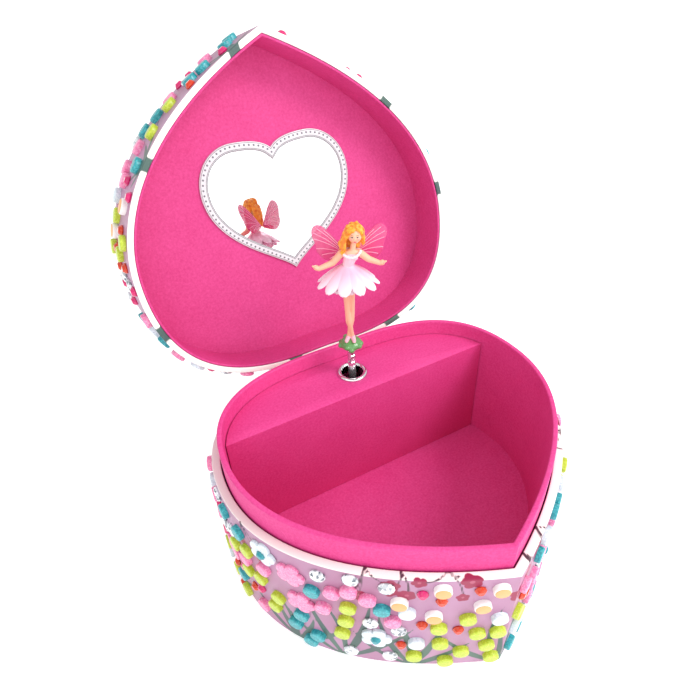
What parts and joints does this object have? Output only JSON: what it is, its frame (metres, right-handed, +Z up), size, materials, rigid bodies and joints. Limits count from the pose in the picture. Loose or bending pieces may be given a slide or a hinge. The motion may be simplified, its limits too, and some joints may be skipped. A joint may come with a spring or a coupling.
{
  "type": "music box",
  "caption": "Child's musical jewellery box of paper-covered board, with a hinged lid, a heart-shaped mirror and a fairy dancer that turns on a spindle over a platform.",
  "frame": {"origin": "centre of the tray's underside, on the centre line and midway between the two widest points of the sides", "axes": "+Z up, -Y towards the pointed end, +Y towards the hinge"},
  "size_m": [0.1637, 0.2324, 0.2107],
  "materials": {
    "printed_paper": "mauve paper printed with leaves and blossom, on thick board",
    "pink_card": "matt pink paper on card",
    "chrome": "polished",
    "hinge_cloth": "woven cloth, like the paper in colour",
    "mirror_border": "white card printed with silver dots and a thin line",
    "mirror": "polished",
    "painted_figure": "painted moulding: skin, orange hair, white and pink dress, green base",
    "wing_plastic": "translucent, veined",
    "gem_magenta": "faceted",
    "gem_orange": "faceted",
    "sticker_lime": "soft foam with a fine glitter",
    "sticker_peach": "soft foam with a fine glitter",
    "sticker_pink": "soft foam with a fine glitter",
    "sticker_teal": "soft foam with a fine glitter",
    "sticker_white": "soft foam with a fine glitter"
  },
  "bodies": {
    "box": {"tray": "printed_paper", "liner": "pink_card", "platform": "pink_card", "eyelet": "chrome", "spindle_foot": "chrome", "hinge_cloth_tray": "hinge_cloth", "sticker_01": "sticker_peach", "sticker_02": "sticker_peach", "sticker_03": "sticker_peach", "sticker_04": "sticker_peach", "sticker_05": "sticker_peach", "sticker_06": "sticker_lime", "sticker_07": "sticker_lime", "sticker_08": "sticker_lime", "sticker_09": "sticker_lime", "sticker_10": "sticker_lime", "sticker_11": "sticker_lime", "sticker_12": "sticker_lime", "sticker_13": "sticker_lime", "sticker_14": "sticker_lime", "sticker_15": "sticker_lime", "sticker_16": "sticker_lime", "sticker_17": "sticker_pink", "sticker_18": "sticker_pink", "sticker_19": "sticker_pink", "sticker_20": "sticker_pink", "sticker_21": "sticker_teal", "sticker_22": "sticker_teal", "sticker_23": "sticker_teal", "sticker_24": "sticker_teal", "sticker_25": "sticker_teal", "sticker_26": "gem_orange", "sticker_27": "gem_orange", "sticker_28": "gem_magenta", "sticker_29": "sticker_white", "sticker_30": "sticker_white", "sticker_31": "sticker_pink", "sticker_32": "sticker_pink", "sticker_33": "sticker_pink", "sticker_34": "sticker_teal", "sticker_35": "sticker_lime", "sticker_36": "sticker_pink", "sticker_37": "sticker_pink", "sticker_38": "sticker_teal", "sticker_39": "sticker_white", "sticker_40": "sticker_lime", "sticker_41": "sticker_teal", "sticker_42": "sticker_pink", "sticker_43": "sticker_lime", "sticker_44": "gem_orange", "sticker_45": "sticker_pink"},
    "lid": {"lid_shell": "printed_paper", "lid_lining": "pink_card", "mirror_border": "mirror_border", "mirror": "mirror", "hinge_cloth_lid": "hinge_cloth"},
    "knuckle": {"spindle_knuckle": "chrome"},
    "dancer": {"spindle_rod": "chrome", "dancer_figure": "painted_figure", "dancer_wings": "wing_plastic"}
  },
  "joints": [
    {"name": "lid_hinge", "type": "hinge", "parent": "box", "child": "lid", "pos_m": [0, 0.0598, 0.0672], "axis": [1, 0, 0], "range_deg": [0, 106.7]},
    {"name": "dancer_fold", "type": "hinge", "parent": "box", "child": "knuckle", "pos_m": [0.001, 0.037, 0.0811], "axis": [1, 0, 0], "range_deg": [0, 106.7]},
    {"name": "dancer_spin", "type": "hinge", "parent": "knuckle", "child": "dancer", "pos_m": [0.001, 0.037, 0.0843], "axis": [0, 0, 1], "continuous": true}
  ],
  "couplings": [
    {"joint": "dancer_fold", "follows": "lid_hinge", "ratio": 1}
  ]
}
